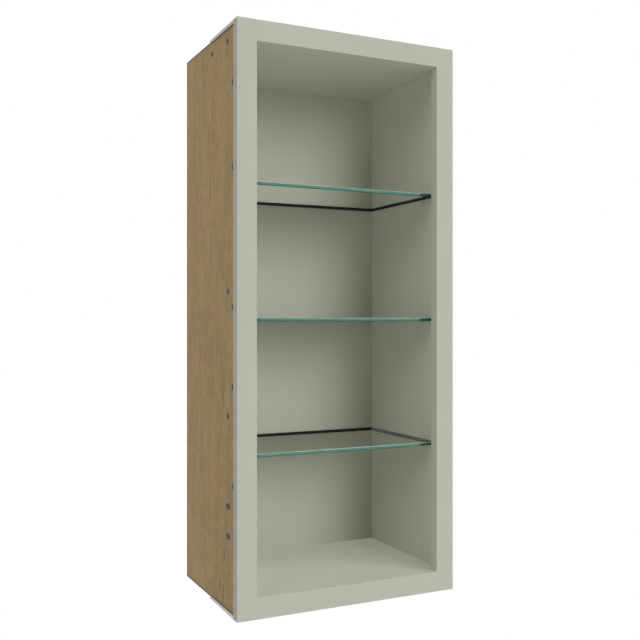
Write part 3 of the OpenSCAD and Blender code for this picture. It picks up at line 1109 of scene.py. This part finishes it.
class CABINET_OT_shelf_pins(bpy.types.Operator):
    """Clear pins under the shelves, each with a soft cushion"""

    bl_idname = "cabinet.shelf_pins"
    bl_label = "Shelf pins"

    def execute(self, context):
        pin = rod("pin", (0, 0, 0), (COLLAR_T, 0, 0), COLLAR_R, 32)
        with editing(pin):
            choose(pin, "FACE", lambda face: face.normal.x > 0.99)
            bpy.ops.mesh.inset(thickness=COLLAR_R - NOSE_R)
            bpy.ops.mesh.extrude_region_move(
                TRANSFORM_OT_translate={"value": (NOSE_L, 0, 0)}
            )
            choose(pin, "FACE", lambda face: face.normal.x < -0.99)
            bpy.ops.mesh.inset(thickness=COLLAR_R - PEG_R)
            bpy.ops.mesh.extrude_region_move(
                TRANSFORM_OT_translate={"value": (-PEG_L, 0, 0)}
            )
        end = COLLAR_T + NOSE_L
        ease(pin, 0.7 * MM, lambda edge: on_plane(edge, 0, end), 3)
        ease(pin, 0.5 * MM, lambda edge: on_plane(edge, 0, -PEG_L), 2)
        cut(pin, block("flat", (0, -OVER, NOSE_FLAT), (end + OVER, OVER, OVER)))
        pad = block(
            "pad", (COLLAR_T + CUSHION_MARGIN, -CUSHION_W / 2, NOSE_FLAT),
            (end - CUSHION_MARGIN, CUSHION_W / 2, NOSE_FLAT + CUSHION_T),
        )
        ease(pad, 0.3 * MM, lambda edge: not on_plane(edge, 2, NOSE_FLAT), 3)
        clear = material("clear_plastic", clear_plastic, "clear_plastic", 0.05)
        painted = material("sage", sage_paint)
        soft = material("silicone", clear_plastic, "silicone", 0.06)
        inward = Matrix.Scale(-1, 4, (1, 0, 0))
        for shelf in SHELVES:
            for one, name, node, slot, finish in (
                (pin, "pins_", "_shelf_pins", "clear_pin", clear),
                (pad, "pads_", "_shelf_cushions", "clear_cushion", soft),
            ):
                parts = []
                for y, z in pin_places([shelf]):
                    spot = Matrix.Translation((INNER_X, y, z)) @ inward
                    parts.append(copied(one, "part", spot))
                    parts.append(mirrored(parts[-1], "part"))
                piece = joined(name + shelf, *parts)
                finish_piece(piece, ROOT, shelf + node, slot, finish, painted)
                give(piece, 1, lambda face: abs(face.calc_center_median().x)
                     > INNER_X - COLLAR_T - FIT)
        for o in (pin, pad):
            bpy.data.objects.remove(o)
        return {"FINISHED"}


class CABINET_OT_glass_shelves(bpy.types.Operator):
    """Glass shelves with rounded corners and polished edges"""

    bl_idname = "cabinet.glass_shelves"
    bl_label = "Glass shelves"

    def execute(self, context):
        bevel = settings("edges").glass
        colours = settings("colours")
        rim, sill, lip, painted_back_shade = (
            tuple(colour) for colour in (colours.rim, colours.sill, colours.lip, colours.painted_back_shade)
        )
        for shelf in SHELVES:
            # Painted light and shade: the lower shelf's side edges get the lit grey, the other
            # shelves' the near-black shade.
            ends = ("glass_sill", sill) if shelf == "lower" else ("glass_rim", rim)
            finishes = (
                material("glass_face", glass_face),
                material("glass_front", glass_front),
                material(ends[0], glass_rim, *ends),
                material("glass_back", glass_rim, "glass_back", painted_back_shade),
                material("glass_lip", glass_rim, "glass_lip", lip),
            )
            low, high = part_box(shelf + "_glass_shelf")
            glass = block("glass_" + shelf, low, high)
            ease(glass, GLASS_CORNER_R, lambda edge: along(edge, 2), 8)
            ease(glass, bevel, lambda edge: not along(edge, 2), 1)
            finish_piece(
                glass, shelf + "_shelf", shelf + "_glass_shelf", "shelf_glass", *finishes
            )
            front = low.y + GLASS_CORNER_R
            give(glass, 0, lambda face: abs(face.normal.z) > 0.99)
            give(glass, 1, lambda face: abs(face.normal.z) < 0.1
                 and face.calc_center_median().y < front)
            give(glass, 2, lambda face: abs(face.normal.z) < 0.1
                 and face.calc_center_median().y >= front)
            # Painted shade: the back edge and the bevels get the dark colour.
            give(glass, 3, lambda face: abs(face.normal.z) < 0.99
                 and (abs(face.normal.z) > 0.1 or face.normal.y > 0.9))
            # Painted highlight: the upward bevel along the front edge gets the pale colour.
            give(glass, 4, lambda face: 0.1 < face.normal.z < 0.99 and face.normal.y < -0.1)
        return {"FINISHED"}


class CABINET_OT_dowels(bpy.types.Operator):
    """Finish of the dowels inside the face frame"""

    bl_idname = "cabinet.dowels"
    bl_label = "Dowels"

    def execute(self, context):
        dowels = frame["nodes"]["frame_dowels"]
        dowels.data.materials.clear()
        dowels.data.materials.append(material("hardwood", hardwood))
        return {"FINISHED"}


WHITE, COOL = (1, 1, 1), (0.95, 1, 1.06)
# Name, degrees across from the front, degrees up, degrees wide, power and colour of each lamp
KEY_LAMPS = (
    ("key", 15, 20, 30, 0.42, WHITE),
    ("front", 0, 0, 30, 0.16, WHITE),
    ("top_right", 40, 50, 15, 0.22, WHITE),
    ("top_left", -60, 30, 30, 0.19, WHITE),
)
FILL_LAMPS = (
    ("left", -90, 0, 30, 0.1, COOL),
    ("rear", 180, 4, 30, 0.7, WHITE),
)
WASHES = (
    ("left_wash", -90, 0, 0, 0.08, COOL),
    ("right_wash", 90, 0, 0, 0.6, WHITE),
    ("ceiling_wash", 0, 90, 0, 0.33, WHITE),
    ("floor_wash", 0, -90, 0, 0.07, WHITE),
)
CAMERA_PLACE, CAMERA_TURN = (-0.7778, -1.57114, MID_Z), 24.856
CAMERA_LENS, CAMERA_SHIFT = 48.602, (0.04254, -0.00083)


def far_light(name, across, up, wide, power, colour, strength, shadow=True):
    """A soft lamp far away, kept out of reflections."""
    bpy.ops.object.light_add(type="SUN", location=(0, 0, 3))
    lamp = bpy.context.object
    lamp.name = name
    across, up = math.radians(across), math.radians(up)
    to_lamp = Vector((
        math.sin(across) * math.cos(up), -math.cos(across) * math.cos(up), math.sin(up)
    ))
    lamp.rotation_euler = to_lamp.to_track_quat("Z", "Y").to_euler()
    lamp.data.angle = math.radians(wide)
    lamp.data.energy = math.pi * power * strength
    lamp.data.use_shadow = shadow
    lamp.data.color = colour
    lamp.visible_glossy = False


class CABINET_OT_stage(bpy.types.Operator):
    """Floor, light and camera"""

    bl_idname = "cabinet.stage"
    bl_label = "Stage"

    def execute(self, context):
        stage = settings("stage")
        bpy.ops.object.select_all(action="DESELECT")
        bpy.ops.mesh.primitive_plane_add(size=60, location=(0, 0, -stage.hung))
        floor = bpy.context.object
        floor.name = "floor"
        f = Finish("floor_finish")
        pale = f.add("ShaderNodeBsdfDiffuse", {}, {"Color": (0.8, 0.8, 0.8, 1)})
        white = f.add("ShaderNodeEmission", {}, {"Color": (1, 1, 1, 1), "Strength": 1.04})
        floor.data.materials.append(f.done(f.mixed(to_the_eye(f) * 0.9, pale, white)))

        for lamp in KEY_LAMPS:
            far_light(*lamp, stage.key)
        for lamp in FILL_LAMPS:
            far_light(*lamp, stage.fill)
        for lamp in WASHES:
            far_light(*lamp, stage.fill, False)

        f = Finish("studio", "worlds")
        context.scene.world = f.material
        sky = f.add("ShaderNodeBackground", {}, {"Color": (1, 1, 1, 1), "Strength": stage.sky})
        white = f.add("ShaderNodeBackground", {}, {"Color": (1, 1, 1, 1), "Strength": 1})
        sky = f.mixed(to_the_eye(f), sky, white)
        f.add("ShaderNodeOutputWorld", {}, {"Surface": sky}, None)

        bpy.ops.object.camera_add(location=CAMERA_PLACE)
        camera = context.object
        camera.name = "camera"
        turn = math.radians(CAMERA_TURN)
        look = Vector((math.sin(turn), math.cos(turn), 0))
        camera.rotation_euler = look.to_track_quat("-Z", "Y").to_euler()
        camera.data.lens, camera.data.sensor_width = CAMERA_LENS, 36
        camera.data.shift_x, camera.data.shift_y = CAMERA_SHIFT
        context.scene.camera = camera
        context.scene.view_settings.view_transform = "Standard"
        return {"FINISHED"}


OPERATORS = (
    CABINET_OT_face_frame, CABINET_OT_side_panels, CABINET_OT_decks, CABINET_OT_back,
    CABINET_OT_glue_blocks, CABINET_OT_edge_strips, CABINET_OT_screws, CABINET_OT_plugs,
    CABINET_OT_shelf_pins, CABINET_OT_glass_shelves, CABINET_OT_dowels, CABINET_OT_stage,
)


class CABINET_PT_panel(bpy.types.Panel):
    """Sizes, colours and light of the cabinet, and a button for each group of pieces"""

    bl_idname = "CABINET_PT_panel"
    bl_label = "Wall cabinet"
    bl_space_type = "VIEW_3D"
    bl_region_type = "UI"
    bl_category = "Cabinet"

    def draw(self, context):
        for name, group in GROUPS.items():
            column = self.layout.column(align=True)
            column.label(text=group.__doc__)
            for key in group.__annotations__:
                column.prop(getattr(context.scene, name), key)
        for operator in OPERATORS:
            self.layout.operator(operator.bl_idname)


def register():
    for cls in (*GROUPS.values(), *OPERATORS, CABINET_PT_panel):
        bpy.utils.register_class(cls)
    for name, group in GROUPS.items():
        setattr(bpy.types.Scene, name, PointerProperty(type=group))


def unregister():
    for name in GROUPS:
        delattr(bpy.types.Scene, name)
    for cls in (CABINET_PT_panel, *OPERATORS[::-1], *GROUPS.values()):
        bpy.utils.unregister_class(cls)


def main():
    register()
    for operator in OPERATORS:
        group, name = operator.bl_idname.split(".")
        getattr(getattr(bpy.ops, group), name)()


if __name__ == "__main__":
    main()
